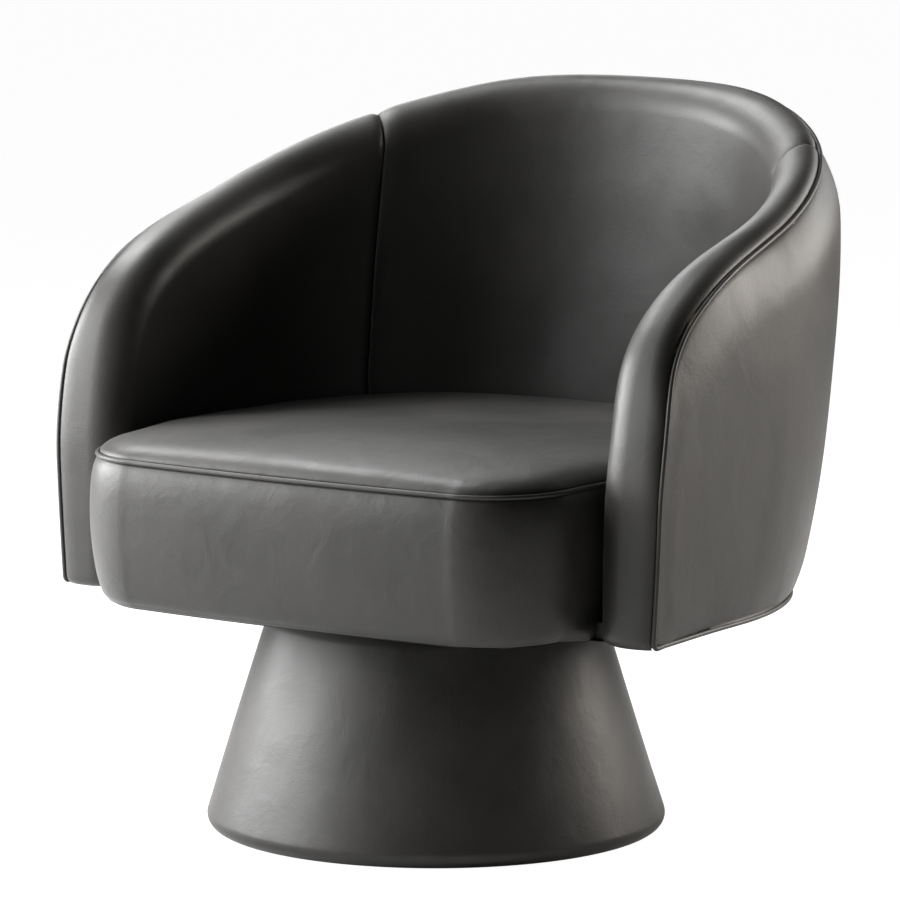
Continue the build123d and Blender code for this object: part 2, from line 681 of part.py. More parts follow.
def upholstered_tub():
    nodes = {}
    deck_top = DECK_Z + DECK_T

    # plywood, wadding and leather of the outer panel
    shell = above(tub_layer(SHELL_OUT, SHELL_IN, SHELL_DROP), DECK_Z)
    nodes["outer_wadding"] = above(tub_layer(LEATHER + FIT, SHELL_OUT - FIT, SHELL_DROP), DECK_Z + 2)
    nodes["outer_cover"] = above(tub_layer(0, LEATHER, TUCK), DECK_Z + 1.5)
    nodes["rim_piping"] = Compound([rim_pipe(), lower_pipe()])

    # seat board with its bolts, and the screws through the shell
    board_body = board_slab(DECK_Z, deck_top, 0)
    board = board_body - cylinder(22, DECK_Z - 1, deck_top + 1)
    plate = cylinder(PLATE_R, UPPER_PLATE, DECK_Z) + ring(RACE_OUT, RACE_IN, UPPER_RACE, UPPER_PLATE)
    plate -= cylinder(PIN_R + 0.6, UPPER_PLATE - 1, DECK_Z + 1)
    plate_screws = []
    for x, y in UPPER_BOLTS:
        plate_screws.append(lag_screw(x, y, UPPER_PLATE, deck_top - 2))
        plate -= shank(BOLT_R, UPPER_PLATE - 1, DECK_Z + 1, x, y)
        board -= shank(BOLT_R, DECK_Z - 1, deck_top - 2, x, y)
    screws = []
    mid = DECK_Z + DECK_T / 2
    for y in (-110, -10):
        for side in (-1, 1):
            x = side * (wall_x(y, mid, SHELL_OUT) - 1.0)
            screws.append(wood_screw((x, y, mid), (-side, 0, 0)))
    for angle in (SEAM_ANGLE, 180 - SEAM_ANGLE, 71.8, 108.2):
        x, y = wall_ray(angle, mid, SHELL_OUT + 1.5)
        c, n = math.cos(math.radians(angle)), math.sin(math.radians(angle))
        screws.append(wood_screw((x, y, mid), (-c, -n, 0)))
    for screw in screws:
        board -= screw
        shell -= screw
    nodes["tub_shell"] = shell
    nodes["seat_board"] = board
    nodes["swivel_upper_plate"] = plate
    nodes["upper_screws"] = Compound(plate_screws)
    nodes["shell_screws"] = Compound(screws)
    cloth = board_slab(DECK_Z - CLOTH, DECK_Z, 1)
    nodes["dust_cover"] = cloth - cylinder(PLATE_R + 5, DECK_Z - 2, DECK_Z + 1)

    # wooden blocks behind the fronts of the arms
    block = post(SHELL_IN + POST_DEEP, SHELL_IN + 2 * FIT)
    nodes["arm_block_right"] = block
    nodes["arm_block_left"] = mirror(block, about=Plane.YZ)

    # pads
    board_room = across(POST_FRONT - FIT, SPAN, 0, deck_top)
    cover = pad_cover(ARM_STATIONS) - board_room
    foam = pad_foam(ARM_STATIONS) - board_room - post(SHELL_IN + POST_DEEP, SHELL_OUT)
    nodes["arm_cover_right"] = cover
    nodes["arm_foam_right"] = foam
    nodes["arm_cover_left"] = mirror(cover, about=Plane.YZ)
    nodes["arm_foam_left"] = mirror(foam, about=Plane.YZ)
    nodes["back_cover"] = pad_cover(back_stations()) - board_room
    nodes["back_foam"] = pad_foam(back_stations()) - board_room

    # seat
    seat = seat_form(0)
    seat_in = seat_form(LEATHER)
    split = (PIPE_Z + deck_top) / 2
    stuffing = seat_in - board_body - slab(0, DECK_Z)
    nodes["seat_foam_core"] = stuffing & slab(0, split)
    nodes["seat_foam_top"] = stuffing & slab(split, SPAN)
    skin = seat - seat_in
    nodes["seat_top_cover"] = skin & (slab(PIPE_Z, SPAN) + across(WRAP_Y, SPAN, WRAP_Z, SPAN))
    nodes["seat_band"] = skin & across(-SPAN, POST_FRONT, 0, PIPE_Z)
    nodes["seat_piping"] = seat_pipe()
    return nodes


def build():
    nodes = {}
    nodes.update(pedestal())
    nodes.update(bearing())
    nodes.update(upholstered_tub())
    for name, shape in nodes.items():
        export_step(shape, f"parts/{name}.step")


build()
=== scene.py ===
# %% [markdown]
# # A leather tub armchair that turns on a cone shaped pedestal
#
# The chair is a padded U of plywood round a deep seat cushion, all covered in dark grey
# leather.  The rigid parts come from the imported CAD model.  Everything soft is built here
# as its own closed mesh, from the same few curves the CAD was drawn from.  Lengths in the
# curves are millimetres, the frame's origin is on the swivel axis at the floor, +Z is up
# and the sitter faces -Y.

# %% Load the frame
import math
import bpy
import numpy as np
from mathutils import Matrix, Vector


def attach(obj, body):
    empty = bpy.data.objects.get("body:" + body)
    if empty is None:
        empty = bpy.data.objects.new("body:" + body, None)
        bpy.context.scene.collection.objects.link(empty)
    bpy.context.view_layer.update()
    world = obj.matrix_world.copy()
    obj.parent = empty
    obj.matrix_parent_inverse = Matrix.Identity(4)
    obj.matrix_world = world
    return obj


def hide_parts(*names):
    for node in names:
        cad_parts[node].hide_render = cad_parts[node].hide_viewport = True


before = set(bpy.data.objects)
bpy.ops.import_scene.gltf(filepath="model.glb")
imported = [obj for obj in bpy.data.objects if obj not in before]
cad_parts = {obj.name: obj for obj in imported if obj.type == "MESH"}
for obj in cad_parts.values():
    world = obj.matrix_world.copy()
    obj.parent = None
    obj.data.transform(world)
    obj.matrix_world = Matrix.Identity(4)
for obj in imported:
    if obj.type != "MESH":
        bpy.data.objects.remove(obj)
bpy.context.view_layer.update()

# %% [markdown]
# ## The two curves that give the tub its shape
#
# Seen from above the wall is a U: straight arms joined by half a circle at the rear.  The
# half width and the circle's centre change with height, so the wall leans back and bellies
# out a little.  Seen from the side the rim is one line from the foot of an arm's front, up
# and over to the top of the back.  Splines through a few measured points give both; a
# natural spline keeps the highlights on the leather free of kinks.

# %% Splines through the measured points
# Height, half width of the wall's outer face, y of the rear half circle's centre
LEVELS = [(250, 373, 24), (365, 379.5, 57), (485, 382, 79), (610, 379.5, 99), (705, 373, 105.5),
          (790, 364, 106)]
# The rim seen from the side (y, z), from the top of an arm's upright front to the back's top
CREST = [(-169, 384), (-157, 482), (-134, 551), (-70, 608), (87, 661), (248, 711), (371, 752), (445, 770)]
FRONT_Y = -169.0        # front of the arms
UNDER = 250.0           # lowest point of the turning part
ARM_T = 78.0            # padded thickness of an arm
BACK_T = 74.0           # padded thickness of the back
SEAT_HALF = 299.9       # half the room for the seat between the arms
SEAM_Y = 92.0           # axis the stations round the back turn about
SEAM_ANGLE = 35.7       # angle of the arm / back seams from the X axis
SEAM_REACH = 330.0      # from that axis to the pads, so a degree is 5.8 mm


def spline(xs, ys, start=None, end=None):
    """Cubic spline through points, with natural ends or the given slopes there."""
    xs, ys = np.array(xs, float), np.array(ys, float)
    n, h = len(xs), np.diff(xs)
    a, b = np.zeros((n, n)), np.zeros(n)
    for i in range(1, n - 1):
        a[i, i - 1], a[i, i], a[i, i + 1] = h[i - 1], 2 * (h[i - 1] + h[i]), h[i]
        b[i] = 6 * ((ys[i + 1] - ys[i]) / h[i] - (ys[i] - ys[i - 1]) / h[i - 1])
    a[0, 0] = a[-1, -1] = 1
    if start is not None:
        a[0, 0], a[0, 1], b[0] = 2 * h[0], h[0], 6 * ((ys[1] - ys[0]) / h[0] - start)
    if end is not None:
        a[-1, -1], a[-1, -2], b[-1] = 2 * h[-1], h[-1], 6 * (end - (ys[-1] - ys[-2]) / h[-1])
    m = np.linalg.solve(a, b)

    def value(x):
        x = np.clip(np.asarray(x, float), xs[0], xs[-1])
        i = np.clip(np.searchsorted(xs, x) - 1, 0, n - 2)
        hi, lo = xs[i + 1] - x, x - xs[i]
        return ((m[i] * hi**3 + m[i + 1] * lo**3) / (6 * h[i])
                + (ys[i] / h[i] - m[i] * h[i] / 6) * hi + (ys[i + 1] / h[i] - m[i + 1] * h[i] / 6) * lo)

    return value


half_width = spline([v[0] for v in LEVELS], [v[1] for v in LEVELS])
arc_centre = spline([v[0] for v in LEVELS], [v[2] for v in LEVELS])
chord = np.concatenate([[0], np.cumsum([math.dist(p, q) for p, q in zip(CREST, CREST[1:])])])
crest_s = np.linspace(0, chord[-1], 900)
crest_ys = spline(chord, [p[0] for p in CREST], 0, 1)(crest_s)
crest_zs = spline(chord, [p[1] for p in CREST], 1, 0)(crest_s)


def crest_z(y):
    return np.interp(y, crest_ys, crest_zs)


def crest_slope(y):
    return (crest_z(y + 4) - crest_z(y - 4)) / 8


def full_depth(z):
    """Thickness of the padded wall: low down the seat's width limits it."""
    w = half_width(z)
    return w - np.maximum(w - ARM_T, SEAT_HALF + 0.3)


def wall_circle(z, depth):
    """Radius and centre of the U, depth millimetres in from its outer face."""
    return half_width(z) - depth, arc_centre(z) + (ARM_T - BACK_T) * depth / full_depth(z)


def ease(x):
    x = np.clip(x, 0.0, 1.0)
    return x * x * (3 - 2 * x)


print("rim length from foot to top", round(float(crest_s[-1])), "mm")

# %% [markdown]
# ## Planes that cut the padded wall
#
# The wall is swept through a fan of planes, called stations here.  On an arm's front they
# lie flat at the foot and turn upright at the top of the slope; round the back they stand
# upright and turn about one axis.  In each plane a point is given by `drop`, the distance
# in from the rim, `share`, how far on from there to the foot, and `depth`, the distance in
# from the outer face.  Toward the rim the real wall is drawn in to its piping, more on the
# slope and the back than on the arms' fronts: that is the station's `lean`.

# %% Stations along an arm and round the back
rim_lean = spline([384, 470, 510, 540, 565, 594, 622, 641, 662, 690, 735, 790],
                  [-1.2, -1, 0.5, 3.6, 6.0, 7.2, 7.8, 11.2, 16.5, 19, 17, 16])


class Station:
    def __init__(self, at, run, rim_z, pull=0.0):
        self.at, self.run, self.rim_z, self.pull = at, run, rim_z, pull
        self.lean = float(rim_lean(rim_z))
        self.seam = 7.0 + 6.0 * float(ease((rim_z - 490.0) / 90.0))


def arm_station(crest, normal, foot):
    run = math.dist(crest, foot)
    uy, uz = (foot[0] - crest[0]) / run, (foot[1] - crest[1]) / run
    rate = 1 / (uy * normal[0] + uz * normal[1])

    def at(drop, share, depth, side):
        go = drop * rate + (run - drop * rate) * share
        y, z = crest[0] + uy * go, crest[1] + uz * go
        r, yc = wall_circle(z, np.where(side, full_depth(z) - depth, depth))
        x = np.where(y <= yc, r, np.sqrt(np.maximum(1.0, r * r - np.maximum(0, y - yc) ** 2)))
        return np.stack([x, y, z], -1)

    return Station(at, run, crest[1])


def back_station(angle):
    c, n = math.cos(math.radians(angle)), math.sin(math.radians(angle))

    def spot(z, depth, side):
        r, yc = wall_circle(z, np.where(side, full_depth(z) - depth, depth))
        gap = SEAM_Y - yc
        reach = -gap * n + np.sqrt(r * r - (gap * c) ** 2)
        if abs(n) < 0.5:
            reach = np.where(SEAM_Y + reach * n < yc, r / max(abs(c), 1e-6), reach)
        return reach * c, SEAM_Y + reach * n

    def at(drop, share, depth, side):
        z = np.full(np.shape(drop), 700.0)
        for _ in range(9):
            x, y = spot(z, depth, side)
            z = crest_z(y) - drop * np.hypot(1, crest_slope(y))
        z = z + (UNDER - z) * share
        x, y = spot(z, depth, side)
        return np.stack([x, y, z], -1)

    top = float(at(np.zeros(1), np.zeros(1), np.zeros(1), False)[0, 2])
    return Station(at, top - UNDER, top)


FRONT_RUN = CREST[0][1] - UNDER
SLOPE_RUN = float(np.interp(SEAM_Y, crest_ys, crest_s))
ARM_RUN = FRONT_RUN + SLOPE_RUN


def arm_row(t, foot_z=UNDER):
    """Station number t on an arm: 0 at the foot of its front, 1 above the seam's axis."""
    s = t * ARM_RUN
    if s < FRONT_RUN:
        crest, normal = (FRONT_Y, UNDER + s), (1.0, 0.0)
    else:
        s -= FRONT_RUN
        around = [s - 2, s, s + 2]
        y, z = np.interp(around, crest_s, crest_ys), np.interp(around, crest_s, crest_zs)
        crest = (float(y[1]), float(z[1]))
        long = math.hypot(y[2] - y[0], z[2] - z[0])
        normal = (float(z[2] - z[0]) / long, -float(y[2] - y[0]) / long)
    foot = (FRONT_Y + 50 + (SEAM_Y - FRONT_Y - 50) * t**1.15, foot_z)
    return arm_station(crest, normal, foot)


def half_tub(rows, step, last=90.0, foot_z=UNDER, first=0.0):
    """Stations of the right half: rows of them on the arm, then one every step degrees."""
    out = [arm_row(t, foot_z) for t in np.linspace(first, 1, rows)]
    for angle in np.linspace(0, last, int(round(last / step)) + 1)[1:]:
        out.append(back_station(float(angle)))
    return out


# %% [markdown]
# ## Turning a grid of points into a mesh
#
# Every soft piece is a grid of points, so its faces are neat quads and a highlight runs
# evenly over it.  This helper takes the grid in millimetres, may join its last column to
# the first, may close its ends, and writes the points in metres, turned to face outwards.

# %% Grid to mesh
def lay_grid(name, points, ends=True):
    """Closed mesh from an array (rows, columns, 3), columns joined round.

    Its end rows are capped, or joined to each other where ends is False.
    """
    rows, cols = points.shape[:2]
    index = np.arange(rows * cols).reshape(rows, cols)
    verts = [tuple(float(c) for c in p) for p in points.reshape(-1, 3) * 0.001]
    faces = []
    for i in range(rows - 1 if ends else rows):
        n = (i + 1) % rows
        for j in range(cols):
            k = (j + 1) % cols
            faces.append((int(index[i, j]), int(index[i, k]), int(index[n, k]), int(index[n, j])))
    for row in (0, rows - 1) if ends else ():
        centre = len(verts)
        verts.append(tuple(float(c) for c in points[row].mean(0) * 0.001))
        for j in range(cols):
            k = (j + 1) % cols
            a, b = int(index[row, j]), int(index[row, k])
            faces.append((b, a, centre) if row == 0 else (a, b, centre))
    co = np.array(verts)
    fans = [(f[0], f[n], f[n + 1]) for f in faces for n in range(1, len(f) - 1)]
    volume = sum(float(np.dot(co[a], np.cross(co[b], co[c]))) for a, b, c in fans)
    if volume < 0:
        faces = [f[::-1] for f in faces]
    mesh = bpy.data.meshes.new(name)
    mesh.from_pydata(verts, [], faces)
    mesh.shade_smooth()
    obj = bpy.data.objects.new(name, mesh)
    bpy.context.scene.collection.objects.link(obj)
    print(name, len(faces), "faces,", round(abs(volume) / 6 * 1000, 2), "litres")
    return obj


def other_hand(points):
    return points * np.array([-1.0, 1.0, 1.0])


# %% [markdown]
# ## The padded rim in section
#
# The pad is foam under leather.  Its section starts at the foot behind the outer panel,
# climbs to the piping, rolls over the rim, and runs down the inside with a wide round
# edge.  Beside the piping the leather dives into the seam, so the pad looks full there.

# %% Section of a pad
ROLL = np.radians([-14, 0, 14, 28, 42, 56, 70, 84])
TURN = np.radians(np.linspace(0, 90, 17))


def pad_ring(st, swell=0.0):
    """Closed outline of a pad in one plane, drawn in all round by the station's pull."""
    pull, lean = st.pull, st.lean
    up = np.linspace(1, 0.05, 12)
    parts = [(np.full(12, 12.0), up, 18.5 + 0 * up, False)]
    under_pipe = st.seam + np.array([6.5, 6.0]) + pull * 0.5
    parts.append((under_pipe, np.zeros(2), lean + np.array([13.0, 7.0]), False))
    room = float(full_depth(st.rim_z)) - lean - 2.7
    edge = min(38.0, 0.67 * room)
    wide = min(22.0, room - edge - 1.5)
    parts.append((st.seam * (1 - np.sin(ROLL)) + 0.1 + pull, np.zeros(8),
                  lean + 2.7 + wide * (1 - np.cos(ROLL)) + 3 * (ROLL < 0) + pull * 0.4, False))
    parts.append((pull + edge * (1 - np.cos(TURN)), np.zeros(17), pull + edge * (1 - np.sin(TURN)), True))
    down = np.linspace(0, 1, 34)[1:]
    belly = swell * np.sin(np.pi * np.minimum(1.0, down * 1.2)) ** 2
    parts.append((np.full(33, pull + edge), down, pull - belly, True))
    return np.concatenate([st.at(np.asarray(d, float), np.asarray(s, float), np.asarray(e, float), side)
                           for d, s, e, side in parts])


def drawn_in(distance, deep, reach):
    """How far leather draws in near a seam, as the quarter of an ellipse."""
    t = min(1.0, max(0.0, distance / reach))
    return deep * (1 - math.sqrt(1 - (1 - t) ** 2))


print("points in a pad's section", len(pad_ring(arm_row(0.5))))

# %% [markdown]
# ## The arms' pads
#
# Each arm pad runs from the foot of the arm's front, up and over the slope, to its seam
# with the back.  At the foot the edge is rounded where the leather folds under, and at the
# seam the pad ends full, like a fingertip.  Stations crowd there to carry the tight curve.
# The seam leans: its foot lies further forward than its head, so near it each point of a
# station turns by its own height.

# %% Arm pads
SEAM_HEAD, SEAM_FOOT = 1.6, -4.6        # degrees by which its head and foot leave SEAM_ANGLE
SEAM_LOW_Z, SEAM_TOP_Z = 440.0, 735.0   # heights between which it leans
LEAN_SPAN = 26.0                        # degrees over which the turning fades out


def leaning_row(angle, pull, swell):
    """Pad outline near the seam, whose points turn about the tub's axis by their height."""
    reach = float(ease(1 - abs(angle - SEAM_ANGLE) / LEAN_SPAN))
    turns = np.linspace(SEAM_FOOT, SEAM_HEAD, 5) * reach
    fan = []
    for turn in turns:
        st = back_station(float(angle + turn))
        st.pull = pull
        fan.append(pad_ring(st, swell))
    fan = np.array(fan)
    level = np.clip((fan[2, :, 2] - SEAM_LOW_Z) / (SEAM_TOP_Z - SEAM_LOW_Z), 0, 1) * 4.0
    cell = np.minimum(level.astype(int), 3)
    share = (level - cell)[:, None]
    index = np.arange(fan.shape[1])
    return fan[cell, index] * (1 - share) + fan[cell + 1, index] * share


arm_stations = []
for rise in (0, 0.6, 1.6, 3.2, 5.4, 8.2, 11.5):
    st = arm_row((rise + 0.001) / ARM_RUN)
    st.pull = drawn_in(rise, 9.0, 11.5)
    arm_stations.append(st)
arm_stations += [arm_row(t) for t in np.linspace(18 / ARM_RUN, 1, 92)]
arm_grid = [pad_ring(st, 1.5) for st in arm_stations]
for angle in np.linspace(0, SEAM_ANGLE - 2.6, 24)[1:]:
    arm_grid.append(leaning_row(angle, 0.0, 1.5))
for away in (11.5, 8.5, 6.2, 4.4, 2.9, 1.7, 0.8, 0.25):
    angle = SEAM_ANGLE - math.degrees(away / SEAM_REACH)
    arm_grid.append(leaning_row(angle, drawn_in(away, 5.5, 12.0), 1.5))
arm_grid = np.array(arm_grid)
arm_right = lay_grid("arm_pad_right", arm_grid)
arm_left = lay_grid("arm_pad_left", other_hand(arm_grid))

# %% [markdown]
# ## The back's pad
#
# One wide pad between the two seams.  The seams pull its leather in more gently than the
# arms' ends, over 22 mm, and the middle swells a little toward the sitter.

# %% Back pad
half = []
for away in (0.25, 0.8, 1.7, 3.0, 4.8, 7.2, 10.2, 14.0, 18.5, 24.0):
    angle = SEAM_ANGLE + math.degrees(away / SEAM_REACH)
    half.append(leaning_row(angle, drawn_in(away, 5.5, 22.0), 2.0))
for angle in np.linspace(SEAM_ANGLE + 5.6, 90, 52):
    half.append(leaning_row(angle, 0.0, 2.0))
half = np.array(half)
back_grid = np.concatenate([half, other_hand(half[-2::-1])])
back_pad = lay_grid("back_pad", back_grid)

# %% [markdown]
# ## The outer panel
#
# One sheet of leather over thin wadding wraps the whole outside, from arm front to arm
# front.  It is full in the middle and dives to its piping along every edge, which is what
# gives the dark band beside the piping.

# %% Outer panel
PANEL_LOW = 253.4
FOOT_TUCK = 5.0         # how far the panel draws in at the rear along its lower edge


def foot_tuck(y):
    return FOOT_TUCK * ease((y - FRONT_Y) / 150.0)


# Steps down from the rim, close together where the leather dives to the piping
NEAR_STEPS = np.array([0, 0.7, 1.6, 2.8, 4.4, 6.5, 9.2, 12.5, 16.5, 21.5, 27.5, 35, 44, 55, 68])


def panel_ring(st):
    """Closed outline of the panel in one plane: outer face down, inner face back up."""
    run = st.run - 9.0
    near = NEAR_STEPS * min(1.0, run / 150.0)
    far = near[-1] + (run - near[-1]) * np.linspace(0, 1, 30)[1:]
    down = np.concatenate([near, far])
    rise = run - down
    depth = st.lean * np.clip(1 - down / 62, 0, 1) ** 2
    depth = depth + 3.4 * np.exp(-down / 2.4) + 2.0 * np.exp(-rise / 2.0)
    depth = depth - 1.8 * (ease(down / 58) * ease(rise / 50)) + 0.6
    drop = np.full(len(down), st.seam + 2.0)
    tuck = foot_tuck(st.at(drop, down / run, depth, False)[:, 1])
    depth = depth + tuck * np.clip(1 - rise / 45, 0, 1) ** 2
    outer = st.at(drop, down / run, depth, False)
    back_share = np.linspace(1, 0, 10)
    lean = st.lean * np.clip(1 - back_share * run / 62, 0, 1) ** 2
    inner = st.at(np.full(10, st.seam + 2.6), back_share, lean + 7.4, False)
    return np.concatenate([outer, inner])


panel_half = half_tub(96, 1.6, foot_z=PANEL_LOW, first=3.5 / ARM_RUN)
half = np.array([panel_ring(st) for st in panel_half])
half[..., 2] = np.maximum(half[..., 2], PANEL_LOW)
panel = lay_grid("outer_panel", np.concatenate([half, other_hand(half[-2::-1])]))

# %% [markdown]
# ## The seat cushion
#
# The cushion is a deep block with a crowned top.  Seen from above it has a nearly straight
# front, round front corners, sides that follow the arms and a round rear.  Rings at rising
# heights, each drawn in or let out from the piping's line, give the band its belly and its
# rounded lower edge; rings shrinking toward the middle give the top its crown.

# %% Seat outline
NOSE_R, CORNER_R, CORNER_X = 2500.0, 93.0, 195.0
SEAT_FRONT, PIPE_Z, SEAT_TOP, SEAT_MIDDLE = -290.0, 413.0, 440.0, 40.0
NOSE_LEAN = math.degrees(math.asin(CORNER_X / NOSE_R))
CORNER_Y = (SEAT_FRONT + NOSE_R - math.sqrt(NOSE_R**2 - CORNER_X**2)
            + CORNER_R * math.cos(math.radians(NOSE_LEAN)))
SIDE_X = SEAT_HALF - 0.6


def seat_plan(inset, side_inset=None, z=PIPE_Z):
    """Points (x, y) round the seat, from the front's middle over the right side and back."""
    side_inset = inset if side_inset is None else side_inset
    r = CORNER_R - inset
    x0 = CORNER_X + r * math.cos(math.radians(NOSE_LEAN - 90))
    xs = np.linspace(0, x0, 26)
    front = np.stack([xs, SEAT_FRONT + inset + NOSE_R - np.sqrt(NOSE_R**2 - xs**2)], -1)
    turn = np.radians(np.linspace(NOSE_LEAN - 90, -3, 30)[1:])
    corner = np.stack([CORNER_X + r * np.cos(turn), CORNER_Y + r * np.sin(turn)], -1)
    start = corner[-1]
    side_end = -60.0 - 100.0 * float(ease((300.0 - z) / 35.0))
    ys = np.linspace(start[1], side_end, 20)[1:]
    blend = ease((ys - start[1]) / (side_end - start[1]))
    side = np.stack([start[0] + (SIDE_X - side_inset - start[0]) * blend, ys], -1)
    yc = float(arc_centre(z)) + ARM_T - BACK_T
    ys = np.linspace(side_end, yc, 14)[1:]
    flank = np.stack([np.full(13, SIDE_X - side_inset), ys], -1)
    turn = np.radians(np.linspace(0, 90, 60)[1:])
    rr = SIDE_X - side_inset
    rear = np.stack([rr * np.cos(turn), yc + rr * np.sin(turn)], -1)
    half = np.concatenate([front, corner, side, flank, rear])
    return np.concatenate([half, half[-2:0:-1] * np.array([-1.0, 1.0])])


def seat_crown(x, y):
    z = SEAT_TOP - 9 * (x / SEAT_HALF) ** 2
    z = z - np.where(y > -100, 0.035 * (y + 100), 6 * ((y + 100) / 190) ** 2)
    return z - np.where(y > 250, 18 * ((y - 250) / 128) ** 2, 0.0)


SEAT_LOW = 254.6
# Height, and how far the front lies in from the piping's line there
side_profile = spline(
    [SEAT_LOW, 255.2, 257, 261.6, 268, 278, 290, 320, 350, 380, 398, 405, 409, 411.5, 413],
    [18, 14.2, 10.8, 6.6, 3.2, 0, -2.6, -6.8, -8.2, -7.2, -4.6, -2.2, 0.2, 2.4, 4.6])
rings = []
for share in (0.1, 0.35, 0.7, 0.9):
    plan = seat_plan(30.0, 10.0, UNDER)
    rings.append((plan * share + np.array([0, SEAT_MIDDLE]) * (1 - share), SEAT_LOW))
for z in (SEAT_LOW, 254.9, 255.4, 256.4, 258, 260.4, 263.7, 268, 273, 280, 288, 298, 311, 326, 342,
          358, 372, 383, 392, 399, 404, 407.5, 410, 411.8, 413):
    rings.append((seat_plan(float(side_profile(z)), 1.0 + 3 * max(0.0, 1 - (z - SEAT_LOW) / 8), z), z))
print("seat rings below the piping", len(rings))
bottom = np.array([np.concatenate([p, np.full((len(p), 1), z)], -1) for p, z in rings])
# Inset from the piping's line, and the share of the crown's height reached there
SHOULDER = [(3.4, 0.0), (3.0, 0.09), (3.6, 0.2), (5.2, 0.33), (7.8, 0.47), (11.5, 0.61), (16.5, 0.74),
            (23, 0.84), (31, 0.91), (41, 0.955), (54, 0.985), (70, 1.0)]
top = []
for inset, part in SHOULDER:
    plan = seat_plan(inset)
    crown = seat_crown(plan[:, 0], plan[:, 1])
    start = np.minimum(PIPE_Z + 1.2, crown - 14.0)
    top.append(np.concatenate([plan, (start + (crown - start) * part)[:, None]], -1))
edge = seat_plan(70.0)
for share in (0.9, 0.78, 0.64, 0.5, 0.36, 0.22, 0.1, 0.04):
    plan = edge * share + np.array([0, SEAT_MIDDLE]) * (1 - share)
    top.append(np.concatenate([plan, seat_crown(plan[:, 0], plan[:, 1])[:, None]], -1))
top = np.array(top)
limit = np.minimum(PIPE_Z, seat_crown(bottom[..., 0], bottom[..., 1]) - 15.2)
over = bottom[..., 2] > limit
bottom[..., 2] = np.where(over, limit - (PIPE_Z - bottom[..., 2]) * 0.02, bottom[..., 2])
seat = lay_grid("seat_cushion", np.concatenate([bottom, top]))

# %% [markdown]
# ## Piping
#
# Piping is a strip of leather wrapped round a thin cord and sewn into a seam.  It follows a
# path, so Geometry Nodes sweep it: the path's edges become a curve, a small circle runs
# along it, and the result is made real with its material.  The tree's inputs are the
# cord's radius and its number of sides.

# %% Piping tree
def add_node(tree, kind, links=(), **settings):
    """One node with its settings; links are (own socket, other node's output socket)."""
    node = tree.nodes.new(kind)
    for key, value in settings.items():
        if key.startswith("in_"):
            name = key[3:].replace("_", " ")
            node.inputs[int(name) if name.isdigit() else name].default_value = value
        else:
            setattr(node, key, value)
    for own, other in links:
        tree.links.new(other, node.inputs[own])
    return node


def piping_tree():
    tree = bpy.data.node_groups.new("piping along a path", "GeometryNodeTree")
    face = tree.interface
    face.new_socket("Geometry", in_out="INPUT", socket_type="NodeSocketGeometry")
    face.new_socket("Cord radius", in_out="INPUT", socket_type="NodeSocketFloat")
    face.new_socket("Sides", in_out="INPUT", socket_type="NodeSocketInt")
    face.new_socket("Leather", in_out="INPUT", socket_type="NodeSocketMaterial")
    face.new_socket("Geometry", in_out="OUTPUT", socket_type="NodeSocketGeometry")
    given = add_node(tree, "NodeGroupInput")
    line = add_node(tree, "GeometryNodeMeshToCurve", [("Mesh", given.outputs["Geometry"])])
    circle = add_node(tree, "GeometryNodeCurvePrimitiveCircle",
                      [("Resolution", given.outputs["Sides"]), ("Radius", given.outputs["Cord radius"])])
    swept = add_node(tree, "GeometryNodeCurveToMesh",
                     [("Curve", line.outputs["Curve"]), ("Profile Curve", circle.outputs["Curve"])],
                     in_Fill_Caps=True)
    even = add_node(tree, "GeometryNodeSetShadeSmooth", [("Geometry", swept.outputs["Mesh"])])
    real = add_node(tree, "GeometryNodeRealizeInstances", [("Geometry", even.outputs["Geometry"])])
    dressed = add_node(tree, "GeometryNodeSetMaterial", [("Geometry", real.outputs["Geometry"]),
                                                         ("Material", given.outputs["Leather"])])
    add_node(tree, "NodeGroupOutput", [("Geometry", dressed.outputs["Geometry"])])
    return tree


PIPING = piping_tree()


def sweep_piping(name, points, radius, leather, closed=False):
    """Piping along a path given in millimetres, as a plain mesh object."""
    mesh = bpy.data.meshes.new(name + "_path")
    count = len(points)
    edges = [(i, i + 1) for i in range(count - 1)] + ([(count - 1, 0)] if closed else [])
    mesh.from_pydata([tuple(float(c) for c in p) for p in np.asarray(points) * 0.001], edges, [])
    path = bpy.data.objects.new(name + "_path", mesh)
    bpy.context.scene.collection.objects.link(path)
    modifier = path.modifiers.new("piping", "NODES")
    modifier.node_group = PIPING
    by_name = {item.name: item.identifier for item in PIPING.interface.items_tree if item.in_out == "INPUT"}
    modifier[by_name["Cord radius"]] = radius * 0.001
    modifier[by_name["Sides"]] = 20
    modifier[by_name["Leather"]] = leather
    evaluated = path.evaluated_get(bpy.context.evaluated_depsgraph_get())
    made = bpy.data.meshes.new_from_object(evaluated)
    made.name = name
    obj = bpy.data.objects.new(name, made)
    bpy.context.scene.collection.objects.link(obj)
    bpy.data.objects.remove(path)
    length = sum(math.dist(points[i], points[i + 1]) for i in range(count - 1))
    print(name, len(made.polygons), "faces,", round(length), "mm")
    return obj


# %% [markdown]
# ## Leather
#
# The chair wears a smooth, lightly corrected cowhide in dark grey: dyed through, with a
# fine pebble grain of about a millimetre, faint paler clouds where the finish has rubbed,
# and a satin surface that gives long soft highlights.  The pattern reads Object
# coordinates, which are the frame's metres, so one hide seems to run over the pads.

# %% Colours and the leather
def srgb(code):
    """Linear colour from an sRGB hex value."""
    value = [int(code[i:i + 2], 16) / 255 for i in (1, 3, 5)]
    return tuple(v / 12.92 if v <= 0.04045 else ((v + 0.055) / 1.055) ** 2.4 for v in value) + (1.0,)


